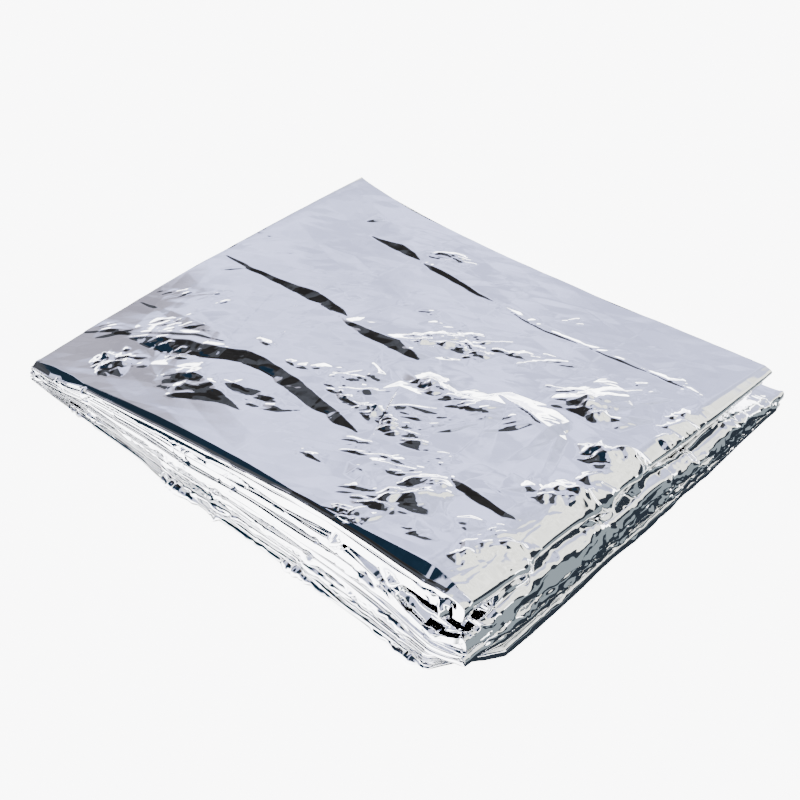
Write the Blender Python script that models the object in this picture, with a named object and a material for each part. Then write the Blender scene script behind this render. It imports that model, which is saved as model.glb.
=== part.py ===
"""An emergency foil blanket, folded back and forth into a loose pile of leaves that lies flat.

The sheet is 2.10 m by 1.40 m of metallised film. Folded, it is ten leaves of 0.42 m by 0.35 m, and each leaf
is two layers of film pressed together. The leaves are joined by folds at the +X side and at the -X side in turn.
The pile is thin at its left corner and loose at its near corner, with the packing creases in its top.

Corners, seen from above: left is -X -Y, near is +X -Y, right is +X +Y and far is -X +Y.
Metres, +Z up. The origin is the middle of the pile's box, on the surface that it lies on.
"""

import math
from collections import namedtuple

import bpy

# Driving dimensions
LEAF_LENGTH = 0.42  # along X, a fifth of the sheet's 2.10 m
LEAF_WIDTH = 0.35  # along Y, a quarter of the sheet's 1.40 m
THINNEST_LEAF = 0.0010
THICKEST_LEAF = 0.0024
LEAF_SHARE = 0.60  # of the height from one leaf to the next that the leaf itself fills
PILE_HEIGHT = {"left": 0.0132, "near": 0.062, "right": 0.034, "far": 0.030}

# How the pile's top departs from the plain slope between its corners
FRONT_SWELL = 0.009  # the -Y side stands higher halfway along
LEFT_SWELL = 0.004  # the -X side too
BACK_SAG = 0.011  # the +Y side hangs lower along its middle
BACK_SAG_LEAN = 0.7  # under 1, its lowest place is nearer to -X
SHOULDER_DROP = 0.10  # share of the height that the top loses where it turns down at +X
SHOULDER_WIDTH = 0.05  # share of the length over which it does

# A crease is a ridge with a steep side towards -X or -Y. It runs from start to stop and lies at `at`, all as
# shares of the leaf. rise, steep and gentle are metres.
Crease = namedtuple("Crease", "at start stop rise steep gentle")
LENGTHWISE_CREASES = (
    Crease(at=0.315, start=0.02, stop=0.66, rise=0.0042, steep=0.010, gentle=0.032),
    Crease(at=0.555, start=0.03, stop=0.95, rise=0.0030, steep=0.008, gentle=0.030),
    Crease(at=0.830, start=0.12, stop=0.92, rise=0.0026, steep=0.007, gentle=0.026),
)
CROSS_CREASES = (
    Crease(at=0.29, start=0.10, stop=0.96, rise=0.0010, steep=0.009, gentle=0.022),
    Crease(at=0.53, start=0.04, stop=0.90, rise=0.0014, steep=0.009, gentle=0.024),
    Crease(at=0.77, start=0.04, stop=0.84, rise=0.0016, steep=0.010, gentle=0.024),
)
CREASE_END = 0.12  # share of the leaf over which a crease dies away at its ends

# At two corners the leaves under the top pair are pressed down, which leaves a mouth between them.
Mouth = namedtuple("Mouth", "corner press reach_x reach_y")
MOUTHS = (
    Mouth(corner=(1.0, 1.0), press=0.36, reach_x=0.20, reach_y=0.13),
    Mouth(corner=(1.0, 0.0), press=0.12, reach_x=0.10, reach_y=0.14),
)
TOP_PAIR = 2  # leaves above the mouth

# Each leaf's outline, from the lowest leaf to the top one: how far, in metres, its corners stand out of the
# plain rectangle. near_x and right_x are along +X, left_x and far_x along -X, left_y and near_y along -Y, and
# far_y and right_y along +Y. bow is how far the -Y side bends out halfway along, and cut is how far the near
# corner is drawn in.
Leaf = namedtuple("Leaf", "near_x right_x left_x far_x left_y near_y far_y right_y bow cut")
MM = 0.001
LEAVES = [
    Leaf(*(value * MM for value in row))
    for row in (
        # near_x right_x left_x far_x left_y near_y far_y right_y bow cut
        (15.0, 8.0, 1.0, 2.0, 1.0, 11.0, 3.0, 1.0, 2.0, 13.0),
        (15.0, 8.0, 2.0, 0.0, 0.0, 12.0, 1.0, 2.0, -1.0, 13.0),
        (11.0, 9.0, 2.0, 0.0, 1.0, 8.0, 4.0, 0.0, 1.0, 8.0),
        (11.0, 9.0, 0.0, 3.0, 0.0, 9.0, 2.0, 2.0, -2.0, 8.0),
        (12.0, 7.0, 0.0, 3.0, 1.5, 5.0, 0.0, 3.0, 1.0, 3.0),
        (12.0, 7.0, 1.0, 1.0, 0.0, 6.0, 2.0, 1.0, -1.0, 3.0),
        (7.0, 8.0, 1.0, 1.0, 1.0, 2.5, 3.0, 2.0, 2.0, 1.0),
        (7.0, 8.0, 0.0, 0.0, 0.0, 3.5, 1.0, 3.0, 1.0, 1.0),
        (0.0, -4.0, 0.0, 0.0, 0.5, 0.5, 4.0, -1.0, -1.0, 2.0),
        (0.0, -4.0, 1.5, 1.0, 0.0, 0.0, 5.0, 0.0, 0.0, 2.0),
    )
]

CUT_WIDTH = 0.055  # share of the leaf's length over which the cut of its near corner runs out
CUT_DEPTH = 0.115  # the same along its width
CUT_SLANT = 1.6  # a corner is drawn in this much further along Y than along X

# How finely the leaves are made
HIDDEN_STATIONS = (0.0, 0.10, 0.24, 0.40, 0.56, 0.72, 0.86, 0.945, 1.0)  # along a leaf under the top one
WIDEST_STEP = 0.10  # share of a leaf between two stations, at most
FOLD_STEPS = 5  # from one leaf round a fold to the next
FOLD_BULGE = 1.15  # a fold is this much deeper than half a circle
ROUNDED_EDGE = 0.0016  # the sides' edges thin down over this width
EDGE_THICKNESS = 0.35  # share of its thickness that a leaf keeps at its very edge
SHARP_ANGLE = math.radians(35)  # edges that turn by more than this are not smoothed


def smooth(share):
    """0 to 1 in an S shape, for a share that may lie outside 0 to 1."""
    share = min(1.0, max(0.0, share))
    return share * share * (3.0 - 2.0 * share)


def between(first, last, share):
    return first + (last - first) * share


def crease_height(crease, across, along, size):
    """Height of one crease at a place, where size is the leaf's size across the crease."""
    away = (across - crease.at) * size
    width = crease.gentle if away > 0 else crease.steep
    ridge = max(0.0, 1.0 - abs(away) / width)
    ends = smooth((along - crease.start) / CREASE_END) * smooth((crease.stop - along) / CREASE_END)
    return crease.rise * ridge * ends


def pile_height(a, b):
    """Height of the pile's top, where a and b run from 0 to 1 along X and Y."""
    front = between(PILE_HEIGHT["left"], PILE_HEIGHT["near"], a)
    back = between(PILE_HEIGHT["far"], PILE_HEIGHT["right"], a)
    height = between(front, back, b)
    height += FRONT_SWELL * math.sin(math.pi * a) * (1.0 - b) ** 2
    height += LEFT_SWELL * math.sin(math.pi * b) * (1.0 - a) ** 2
    height -= BACK_SAG * math.sin(math.pi * a**BACK_SAG_LEAN) * b**2
    height *= 1.0 - SHOULDER_DROP * smooth((a - 1.0 + SHOULDER_WIDTH) / SHOULDER_WIDTH)
    height += sum(crease_height(crease, b, a, LEAF_WIDTH) for crease in LENGTHWISE_CREASES)
    height += sum(crease_height(crease, a, b, LEAF_LENGTH) for crease in CROSS_CREASES)
    return height


def pressed(a, b):
    """Share of their height that the leaves under the mouths keep."""
    share = 1.0
    for mouth in MOUTHS:
        far_x = (a - mouth.corner[0]) / mouth.reach_x
        far_y = (b - mouth.corner[1]) / mouth.reach_y
        share -= mouth.press * math.exp(-far_x * far_x - far_y * far_y)
    return share


def leaf_thickness(a, b):
    pitch = (pile_height(a, b) * pressed(a, b) - THINNEST_LEAF) / (len(LEAVES) - 1)
    return min(THICKEST_LEAF, max(THINNEST_LEAF, LEAF_SHARE * pitch))


def leaf_middle(number, a, b):
    """Height of the middle of a leaf's thickness."""
    thickness = leaf_thickness(a, b)
    share = number / (len(LEAVES) - 1)
    if number < len(LEAVES) - TOP_PAIR:
        share *= pressed(a, b)
    return thickness / 2 + (pile_height(a, b) - thickness) * share


def outline_point(leaf, a, b):
    """X and Y of a place on a leaf, from the far left corner of the plain rectangle."""
    low_x = -between(leaf.left_x, leaf.far_x, b)
    high_x = LEAF_LENGTH + between(leaf.near_x, leaf.right_x, b)
    low_y = -between(leaf.left_y, leaf.near_y, a) - leaf.bow * math.sin(math.pi * a)
    high_y = LEAF_WIDTH + between(leaf.far_y, leaf.right_y, a)
    drawn_in = leaf.cut * max(0.0, 1.0 - (1.0 - a) / CUT_WIDTH) * max(0.0, 1.0 - b / CUT_DEPTH)
    return between(low_x, high_x, a) - drawn_in, between(low_y, high_y, b) + CUT_SLANT * drawn_in


def crease_stations(creases, size):
    """0 to 1 with a station at each crease's top and at both its feet."""
    stations = {0.0, 1.0}
    for crease in creases:
        stations |= {crease.at - crease.steep / size, crease.at, crease.at + crease.gentle / size}
    return sorted(stations)


def with_middles(stations, widest):
    """The stations again, with more between those that are further apart than widest."""
    filled = [stations[0]]
    for low, high in zip(stations, stations[1:]):
        steps = math.ceil((high - low) / widest)
        filled += [between(low, high, step / steps) for step in range(1, steps + 1)]
    return filled


def section(b, edge_share, top_stations):
    """One section of the sheet across Y: the (x, y, z) points of its two faces, in order along the sheet."""
    first_face, second_face = [], []
    for number, leaf in enumerate(LEAVES):
        top = number == len(LEAVES) - 1
        towards_near = number % 2 == 0
        stations = top_stations if top else HIDDEN_STATIONS
        for a in stations if towards_near else stations[::-1]:
            x, y = outline_point(leaf, a, b)
            z = leaf_middle(number, a, b)
            half = leaf_thickness(a, b) / 2 * edge_share
            # The sheet turns over at each fold, so its first face is below a leaf and above the next one.
            side = -half if towards_near else half
            first_face.append((x, y, z + side))
            second_face.append((x, y, z - side))
        if not top:
            add_fold(number, b, edge_share, first_face, second_face)
    return first_face, second_face


def add_fold(number, b, edge_share, first_face, second_face):
    """The turn from one leaf up to the next, at +X after an even leaf and at -X after an odd one."""
    at_near = number % 2 == 0
    a = 1.0 if at_near else 0.0
    outward = 1.0 if at_near else -1.0
    low, high = leaf_middle(number, a, b), leaf_middle(number + 1, a, b)
    radius = (high - low) / 2
    half = leaf_thickness(a, b) / 2 * edge_share
    for step in range(1, FOLD_STEPS):
        share = step / FOLD_STEPS
        angle = math.pi * share - math.pi / 2
        here, there = outline_point(LEAVES[number], a, b), outline_point(LEAVES[number + 1], a, b)
        x, y = between(here[0], there[0], share), between(here[1], there[1], share)
        for face, reach in ((first_face, half), (second_face, -half)):
            if not at_near:
                reach = -reach
            bulge = (radius * FOLD_BULGE + reach) * math.cos(angle)
            face.append((x + outward * bulge, y, (low + high) / 2 + (radius + reach) * math.sin(angle)))


def foil_sheet():
    """The whole sheet as one closed mesh: a ring of points for each station along Y, joined and capped."""
    edge = ROUNDED_EDGE / LEAF_WIDTH
    cut = [CUT_DEPTH / 2, CUT_DEPTH]
    inner = with_middles(sorted(crease_stations(LENGTHWISE_CREASES, LEAF_WIDTH) + cut), WIDEST_STEP)[1:-1]
    stations = [(0.0, EDGE_THICKNESS), (edge, 1.0)]
    stations += [(b, 1.0) for b in inner]
    stations += [(1.0 - edge, 1.0), (1.0, EDGE_THICKNESS)]
    turn = [1.0 - CUT_WIDTH, 1.0 - SHOULDER_WIDTH / 2]
    top_stations = with_middles(sorted(crease_stations(CROSS_CREASES, LEAF_LENGTH) + turn), WIDEST_STEP)

    points, rings = [], []
    for b, edge_share in stations:
        first_face, second_face = section(b, edge_share, top_stations)
        ring = first_face + second_face[::-1]
        rings.append(range(len(points), len(points) + len(ring)))
        points += ring

    faces = []
    count = len(rings[0])
    for ring, following in zip(rings, rings[1:]):
        for i in range(count):
            j = (i + 1) % count
            faces.append((ring[i], following[i], following[j], ring[j]))
    for ring, turned in ((rings[0], False), (rings[-1], True)):
        for i in range(count // 2 - 1):
            cap = (ring[i], ring[i + 1], ring[count - 2 - i], ring[count - 1 - i])
            faces.append(cap[::-1] if turned else cap)

    mesh = bpy.data.meshes.new("foil_sheet")
    mesh.from_pydata(centred(points), [], faces)
    mesh.validate()
    mesh.shade_smooth()
    mesh.set_sharp_from_angle(angle=SHARP_ANGLE)
    return mesh


def centred(points):
    """The points moved so that their box is centred on the origin in X and Y. Z stays as it is."""
    middle = [(min(p[axis] for p in points) + max(p[axis] for p in points)) / 2 for axis in (0, 1)]
    return [(x - middle[0], y - middle[1], z) for x, y, z in points]


def metallised_film():
    material = bpy.data.materials.new("metallised_film")
    material.use_nodes = True
    shader = material.node_tree.nodes["Principled BSDF"]
    shader.inputs["Base Color"].default_value = (0.86, 0.87, 0.90, 1.0)
    shader.inputs["Metallic"].default_value = 1.0
    shader.inputs["Roughness"].default_value = 0.08
    return material


def clear_scene():
    for old in list(bpy.data.objects):
        bpy.data.objects.remove(old)


def build():
    clear_scene()
    sheet = bpy.data.objects.new("foil_sheet", foil_sheet())
    sheet.data.materials.append(metallised_film())
    bpy.context.scene.collection.objects.link(sheet)


build()
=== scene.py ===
import math

import bpy
import numpy as np
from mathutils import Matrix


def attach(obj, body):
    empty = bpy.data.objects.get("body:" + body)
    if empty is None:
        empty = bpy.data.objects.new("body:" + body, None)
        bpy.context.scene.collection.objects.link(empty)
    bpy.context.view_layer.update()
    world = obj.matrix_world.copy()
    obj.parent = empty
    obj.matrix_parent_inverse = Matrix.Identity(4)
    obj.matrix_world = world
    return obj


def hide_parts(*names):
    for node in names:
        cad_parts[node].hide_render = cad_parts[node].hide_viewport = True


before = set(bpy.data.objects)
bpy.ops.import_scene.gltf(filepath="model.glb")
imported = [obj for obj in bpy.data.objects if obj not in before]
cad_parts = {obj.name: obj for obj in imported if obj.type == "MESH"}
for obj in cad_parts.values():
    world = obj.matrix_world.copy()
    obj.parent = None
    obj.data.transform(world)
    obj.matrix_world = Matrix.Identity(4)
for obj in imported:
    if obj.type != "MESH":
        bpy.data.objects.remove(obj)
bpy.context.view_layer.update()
print("frame loaded")

# Seen from above, the pile's corners are left (-X -Y), near (+X -Y), right (+X +Y) and far (-X +Y).
# a runs from 0 to 1 along X over a leaf and b from 0 to 1 along Y.
pile = {
    "leafLength": 0.42,
    "leafWidth": 0.35,
    "leafCount": 10,
    "middle": (0.2163, 0.1719),  # of the pile's box, from the plain rectangle's left corner
    "leftHeight": 0.0132,
    "nearHeight": 0.0665,
    "rightHeight": 0.0345,
    "farHeight": 0.0300,
    "frontSwell": 0.009,  # the top stands higher halfway along its -Y side
    "leftSwell": 0.004,
    "backSag": 0.011,
    "backSagLean": 0.7,
    "hemDepth": 0.0022,  # how far the rounded -Y edge of a leaf stands out
    "hemSlack": 0.6,  # and how much less it does where it is half round
    "hemZone": 0.05,  # share of the width over which a leaf's faces are drawn in to its long sides
    "layerWander": 0.05,  # how unevenly the height is shared out among the leaves
    "layerSize": 0.06,  # and over which length
    "hemWander": 0.8,  # how unevenly a hem is rounded along its length
    "hemSize": 0.03,
    "noseRound": 0.55,  # a turn's section is half round for 1 and square near 0
    "noseDepth": 1.5,  # a turn at +X is this much deeper than half a circle
    "tailDepth": 1.2,  # and one at -X
}

# each leaf from the lowest to the top one. thick and gap (to the leaf above) are parts of the height,
# round is 1 for a half round hem and near 0 for a square one, and the rest is in mm: how far the
# corners stand out of the plain rectangle, the bow of the -Y edge and the cut of the near corner
leaves = {
    "columns": "thick gap round nearX rightX leftX farX leftY nearY farY rightY bow cut",
    "rows": (
        (1.0, 0.12, 0.9, 15.0, 8.0, 1.0, 2.0, 1.0, 11.0, 3.0, 1.0, 2.0, 13.0),
        (0.7, 0.16, 0.6, 15.0, 8.0, 2.0, 0.0, 0.0, 12.0, 1.0, 2.0, -1.0, 13.0),
        (0.8, 0.08, 0.5, 11.0, 9.0, 2.0, 0.0, 1.0, 8.0, 4.0, 0.0, 1.0, 8.0),
        (0.8, 0.14, 0.5, 11.0, 9.0, 0.0, 3.0, 0.0, 9.0, 2.0, 2.0, -2.0, 8.0),
        (1.0, 0.06, 0.4, 12.0, 7.0, 0.0, 3.0, 1.5, 5.0, 0.0, 3.0, 1.0, 3.0),
        (1.1, 0.14, 0.4, 12.0, 7.0, 1.0, 1.0, 0.0, 6.0, 2.0, 1.0, -1.0, 3.0),
        (1.7, 0.04, 0.3, 7.0, 8.0, 1.0, 1.0, 1.0, 2.5, 3.0, 2.0, 2.0, 3.0),
        (1.7, 0.05, 0.3, 7.0, 8.0, 0.0, 0.0, 0.0, 2.5, 1.0, 3.0, 1.0, 3.0),
        (2.0, 0.08, 0.3, 0.0, -4.0, 0.0, 0.0, 0.5, 0.5, 4.0, -1.0, -1.0, 2.0),
        (0.9, 0.00, 0.4, 0.0, -4.0, 1.5, 1.0, 0.0, 0.0, 5.0, 0.0, 0.0, 2.0),
    ),
    "cutLength": 0.055,  # share of the leaf over which the near corner is drawn in, along X
    "cutWidth": 0.115,  # and along Y
    "cutSlant": 1.6,
}

# where the leaves under the top pair are pressed down, which opens a mouth under it
mouths = {
    "columns": "a b press reachA reachB",
    "rows": (
        (1.0, 1.00, 0.36, 0.20, 0.13),
        (0.97, 0.00, 0.42, 0.11, 0.10),
        (1.0, 0.22, 0.08, 0.05, 0.08),
        (1.0, 0.42, 0.12, 0.05, 0.06),
        (1.0, 0.66, 0.14, 0.05, 0.08),
    ),
}

# the top pair rolls down at +X, most at the near corner
topRoll = {
    "columns": "b width",  # mm
    "rows": (
        (0.0, 32.0), (0.10, 29.0), (0.22, 20.0), (0.34, 13.0), (0.48, 8.0), (0.7, 7.0), (1.0, 3.0),
    ),
    "depth": 0.24,  # share of the width
}

# the leaf under the top one has a bevelled hem along the left part of its -Y edge
bevel = {
    "columns": "a round",  # round as in leaves
    "rows": ((0.0, 0.4), (0.08, 1.5), (0.50, 1.5), (0.60, 0.5), (0.66, 0.25), (1.0, 0.25)),
}

# the top's -Y edge turns down in a dark blade
blade = {
    "columns": "a width",  # mm
    "rows": (
        (0.0, 3.0), (0.05, 6.0), (0.11, 5.0), (0.15, 2.0), (0.22, 3.2), (0.35, 4.2), (0.55, 3.6),
        (0.64, 2.0), (0.68, 0.5), (0.76, 1.0), (0.84, 3.5), (0.90, 6.5), (0.95, 8.0), (0.98, 5.5),
        (1.0, 3.0),
    ),
    "slope": 0.80,
}


# each uneven thing has a net of random heights of its own
seeds = {
    "wobbleX": 31,
    "wobbleY": 32,
    "layers": 41,
    "hems": 42,
    "creaseFace": 77,
    "topRidges": 100,  # and one more for each patch
    "sideRidges": 300,
    "ruffles": 500,
    "edges": 610,
    "noses": 700,
    "topFacets": 900,
    "topSwell": 902,
}
netSize = 128  # places each way before a net repeats


def smooth(share):
    share = np.clip(share, 0.0, 1.0)
    return share * share * (3.0 - 2.0 * share)


def between(first, last, share):
    return first + (last - first) * share


def fromTable(table, at, scale=0.001):
    places, values = zip(*table["rows"])
    return np.interp(at, places, values) * scale


def named(table, row):
    return dict(zip(table["columns"].split(), row))


def netCorners(table, i, j):
    i, j, nextI, nextJ = i % netSize, j % netSize, (i + 1) % netSize, (j + 1) % netSize
    return table[i, j], table[nextI, j], table[i, nextJ], table[nextI, nextJ]


# random heights at the corners of a net: flat triangles between them, or rounded swells
def facets(x, y, length, width, turn, seed):
    table = np.random.RandomState(seed).uniform(-1.0, 1.0, (netSize, netSize))
    c, s = math.cos(math.radians(turn)), math.sin(math.radians(turn))
    p = (x * c + y * s) / length
    q = (y * c - x * s) / width
    i, j = np.floor(p).astype(int), np.floor(q).astype(int)
    p, q = p - i, q - j
    low, alongX, alongY, high = netCorners(table, i, j)
    first = low + p * (alongX - low) + q * (alongY - low)
    second = high + (1 - p) * (alongY - high) + (1 - q) * (alongX - high)
    return np.where(p + q < 1, first, second)


def swells(x, y, size, seed):
    table = np.random.RandomState(seed).uniform(-1.0, 1.0, (netSize, netSize))
    p, q = x / size, y / size
    i, j = np.floor(p).astype(int), np.floor(q).astype(int)
    p, q = smooth(p - i), smooth(q - j)
    low, alongX, alongY, high = netCorners(table, i, j)
    return between(between(low, alongX, p), between(alongY, high, p), q)


# a little wobble, so that the ridges aren't straight
bends = {
    "depth": 0.0010,
    "sizeX": 0.011,
    "sizeY": 0.013,
}


def wobble(x, y):
    bentX = x + bends["depth"] * swells(x, y, bends["sizeX"], seeds["wobbleX"])
    return bentX, y + bends["depth"] * swells(x, y, bends["sizeY"], seeds["wobbleY"])


# how a ridge may differ from its patch's row
ridge = {
    "size": (0.5, 1.3, 2.5),  # smallest, how much larger at most, and how rarely
    "width": (0.6, 1.3),
    "steep": (0.7, 1.4),
    "gentleDark": (2.5, 6.0),  # width of the gentle side in widths of the steep one
    "gentleWhite": (1.5, 4.0),
    "peak": (-0.6, 0.6),  # where it is highest along its half length
    "point": 0.7,  # 1 for straight sides seen from above, and less for fuller ones
}


# narrow pointed ridges strewn over a patch, whose steep side looks to lower y where dark says so and else
# to higher y. x, y and middle are in metres, and the patch's row in mm and degrees
def shards(x, y, patch, middle, table, seed):
    height = np.zeros(x.shape)
    chance = np.random.RandomState(seed)
    halfU, halfV, longest, widest = [patch[name] * 0.001 for name in ("halfU", "halfV", "length", "width")]
    least, more, rare = ridge["size"]
    for _ in range(patch["count"]):
        angle, away = chance.uniform(0, 2 * math.pi), math.sqrt(chance.uniform(0, 1))
        middleU = middle[0] + halfU * away * math.cos(angle)
        middleV = middle[1] + halfV * away * math.sin(angle)
        size = least + more * chance.uniform(0, 1) ** rare
        length = longest * size / 2
        width = widest * math.sqrt(size) * chance.uniform(*ridge["width"])
        turn = math.radians(table["lie"] + patch["turn"] + table["spread"] * chance.uniform(-1, 1))
        steep = patch["steep"] * chance.uniform(*ridge["steep"])
        face = 1.0 if chance.uniform() < patch["dark"] else -1.0
        if face < 0:
            steep = steep * table["white"]
        gentle = chance.uniform(*ridge["gentleDark" if face > 0 else "gentleWhite"])
        peak = chance.uniform(*ridge["peak"])
        reach = length + gentle * width
        inside = (np.abs(x - middleU) < reach) & (np.abs(y - middleV) < reach)
        rows, columns = np.flatnonzero(inside.any(axis=1)), np.flatnonzero(inside.any(axis=0))
        if len(rows) < 2 or len(columns) < 2:
            continue
        rows, columns = slice(rows[0], rows[-1] + 1), slice(columns[0], columns[-1] + 1)
        awayU, awayV = x[rows, columns] - middleU, y[rows, columns] - middleV
        c, s = math.cos(turn), math.sin(turn)
        along, across = (awayU * c + awayV * s) / length, (awayV * c - awayU * s) * face
        taper = np.minimum((1.0 + along) / (1.0 + peak), (1.0 - along) / (1.0 - peak))
        crest = steep * width * np.maximum(0.0, taper) ** ridge["point"]
        rise = np.maximum(0.0, np.minimum(crest + steep * across, crest - steep * across / gentle))
        if patch.get("soft"):
            rise = rise * rise / np.maximum(crest, 1e-9)
        height[rows, columns] += rise
    return height


# patches of ridges on top of a height, where middleOf gives a patch's middle
def crumpled(height, x, y, table, rows, middleOf):
    for index, row in enumerate(rows):
        patch = named(table, row)
        height = height + shards(x, y, patch, middleOf(patch), table, table["seed"] + index)
    return height


def pileTop(a, b):
    front = between(pile["leftHeight"], pile["nearHeight"], a)
    back = between(pile["farHeight"], pile["rightHeight"], a)
    height = between(front, back, b)
    height = height + pile["frontSwell"] * np.sin(np.pi * a) * (1.0 - b) ** 2
    height = height + pile["leftSwell"] * np.sin(np.pi * b) * (1.0 - a) ** 2
    height = height - pile["backSag"] * np.sin(np.pi * a ** pile["backSagLean"]) * b**2
    width = fromTable(blade, a)
    return height - blade["slope"] * np.maximum(0.0, width - b * pile["leafWidth"])


def rollDown(a, b):
    width = fromTable(topRoll, b)
    past = np.maximum(0.0, (a - 1.0) * pile["leafLength"] + width)
    return topRoll["depth"] * past * past / width


def pressed(a, b):
    share = 1.0
    for row in mouths["rows"]:
        mouth = named(mouths, row)
        awayA, awayB = (a - mouth["a"]) / mouth["reachA"], (b - mouth["b"]) / mouth["reachB"]
        share = share - mouth["press"] * np.exp(-(awayA**2) - awayB**2)
    return share


leafTable = [named(leaves, row) for row in leaves["rows"]]
thick = [row["thick"] for row in leafTable]
gap = [row["gap"] for row in leafTable]
topLeaf = pile["leafCount"] - 1


def layerShare(share, a, b):
    place = a * pile["leafLength"] + 1.3 * b * pile["leafWidth"]  # so that it runs aslant over a leaf
    uneven = swells(place, 0.07 * share, pile["layerSize"], seeds["layers"])
    return share + pile["layerWander"] * 4 * share * (1 - share) * uneven


# height of the middle of a leaf, and half its thickness
def leafHeight(leaf, a, b):
    low = sum(thick[:leaf]) + sum(gap[:leaf])
    low, high = [layerShare(level / (sum(thick) + sum(gap)), a, b) for level in (low, low + thick[leaf])]
    middle = pileTop(a, b) * (low + high) / 2
    half = pileTop(a, b) * (high - low) / 2
    if leaf < topLeaf - 1:
        share = pressed(a, b)
        return middle * share, half * share
    return middle - rollDown(a, b), half


def leafPlace(leaf, a, b):
    out = {name: value * 0.001 for name, value in leafTable[leaf].items()}
    lowX = -between(out["leftX"], out["farX"], b)
    highX = pile["leafLength"] + between(out["nearX"], out["rightX"], b)
    lowY = -between(out["leftY"], out["nearY"], a) - out["bow"] * np.sin(np.pi * a)
    highY = pile["leafWidth"] + between(out["farY"], out["rightY"], a)
    drawnIn = out["cut"] * np.maximum(0.0, 1.0 - (1.0 - a) / leaves["cutLength"])
    drawnIn = drawnIn * np.maximum(0.0, 1.0 - b / leaves["cutWidth"])
    x = between(lowX, highX, a) - drawnIn - pile["middle"][0]
    y = between(lowY, highY, b) + leaves["cutSlant"] * drawnIn - pile["middle"][1]
    return x, y


# the section of a leaf is a flat loop: angle is -90 on its first face, 90 on its second and 0 at a hem
def hemShape(angle, roundness):
    side = np.sign(angle) * np.abs(np.sin(np.radians(angle))) ** roundness
    out = np.abs(np.cos(np.radians(angle))) ** roundness * (np.abs(angle) < 89.9)
    return side, out


def hemRound(leaf, a):
    if leaf == topLeaf - 1:
        return fromTable(bevel, a, 1.0)
    uneven = swells(a * pile["leafLength"], 0.021 * leaf, pile["hemSize"], seeds["hems"])
    return leafTable[leaf]["round"] * (1.0 + pile["hemWander"] * uneven)


# the faces are drawn in at the long sides, and the hem goes out from there. At +Y only a closed leaf
# has one
def hemShift(b, out, roundness, half, closed):
    depth = pile["hemDepth"] * max(0.0, 1.0 - pile["hemSlack"] * roundness) + half
    reach = np.maximum(0.0, 1.0 - b / pile["hemZone"]) - out * (b < 0.5)
    if closed:
        reach = reach - np.maximum(0.0, 1.0 - (1.0 - b) / pile["hemZone"]) + out * (b > 0.5)
    return depth * reach


def leafPoint(leaf, a, b, angle):
    roundness = hemRound(leaf, a)
    side, out = hemShape(angle, roundness)
    x, y = leafPlace(leaf, a, b)
    middle, half = leafHeight(leaf, a, b)
    up = side if leaf % 2 == 0 else -side
    y = y + hemShift(b, out, roundness, half, leaf < topLeaf)
    return x, y, middle + up * half


# a turn from one leaf to the next, where bend runs from -90 to 90 degrees
def turnPoint(leaf, bend, b, angle):
    near = leaf % 2 == 0
    end, outward, depth = (1.0, 1.0, pile["noseDepth"]) if near else (0.0, -1.0, pile["tailDepth"])
    share = bend / 180.0 + 0.5
    roundness = between(hemRound(leaf, end), hemRound(leaf + 1, end), share)
    side, out = hemShape(angle, roundness)
    low, lowHalf = leafHeight(leaf, end, b)
    high, highHalf = leafHeight(leaf + 1, end, b)
    x, y = leafPlace(leaf, end, b)
    nextX, nextY = leafPlace(leaf + 1, end, b)
    half = between(lowHalf, highHalf, share)
    back = 0.004  # share of the leaf over which its slope is taken
    inside = end - outward * back
    slope = low + high - leafHeight(leaf, inside, b)[0] - leafHeight(leaf + 1, inside, b)[0]
    slope = slope / 2 / (back * pile["leafLength"])
    size = np.sqrt(1.0 + slope * slope)
    radius = (high - low) / 2 / size
    reach = -side * half if near else side * half
    rise, forward = hemShape(bend, pile["noseRound"])
    forward = (radius * depth + reach) * forward
    rise = (radius + reach) * rise
    x = between(x, nextX, share) + outward * (forward - slope * rise) / size
    z = (low + high) / 2 + (forward * slope + rise) / size
    y = between(y, nextY, share) + hemShift(b, out, roundness, half, leaf < topLeaf - 1)
    return x, y, z


# rows across a leaf: along the first face, round the hem and back along the second, and at +Y both faces
# turn in until their edges meet, unless they stop before
def leafRows(first, around, second):
    closing = (0.0, 6.0, 20.0, 42.0, 66.0) if second[-1] == 1.0 else ()
    rows = [(1.0, -angle) for angle in closing]
    rows += [(b, -90.0) for b in first]
    rows += [(0.0, 180.0 * (step / around - 0.5)) for step in range(around + 1)]
    rows += [(b, 90.0) for b in second]
    rows += [(1.0, angle) for angle in closing[::-1]]
    return [np.array(values) for values in zip(*rows)]


def spread(first, last, count):
    return list(np.linspace(first, last, count))


def run(leaf, first, last, count):
    return [(leaf, a, None) for a in spread(first, last, count)]


def turn(leaf, steps, first=1, last=0):
    return [(leaf, None, 180.0 * (step / steps - 0.5)) for step in range(first, steps + last)]


def leafGrid(stations, rows):
    b, angle = rows
    points = np.empty((len(stations), len(b), 3))
    for index, (leaf, a, bend) in enumerate(stations):
        place = leafPoint(leaf, a, b, angle) if bend is None else turnPoint(leaf, bend, b, angle)
        for axis in range(3):
            points[index, :, axis] = place[axis]
    return points


def moved(points, lift):
    normal = np.cross(np.gradient(points, axis=0), np.gradient(points, axis=1))
    normal = normal / np.maximum(np.linalg.norm(normal, axis=2, keepdims=True), 1e-12)
    points = points + normal * lift[:, :, None]
    points[:, :, 2] = np.maximum(points[:, :, 2], 0.0)
    return points


def lengths(line):
    return np.concatenate([[0.0], np.cumsum(np.linalg.norm(np.diff(line, axis=0), axis=1))])


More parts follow.
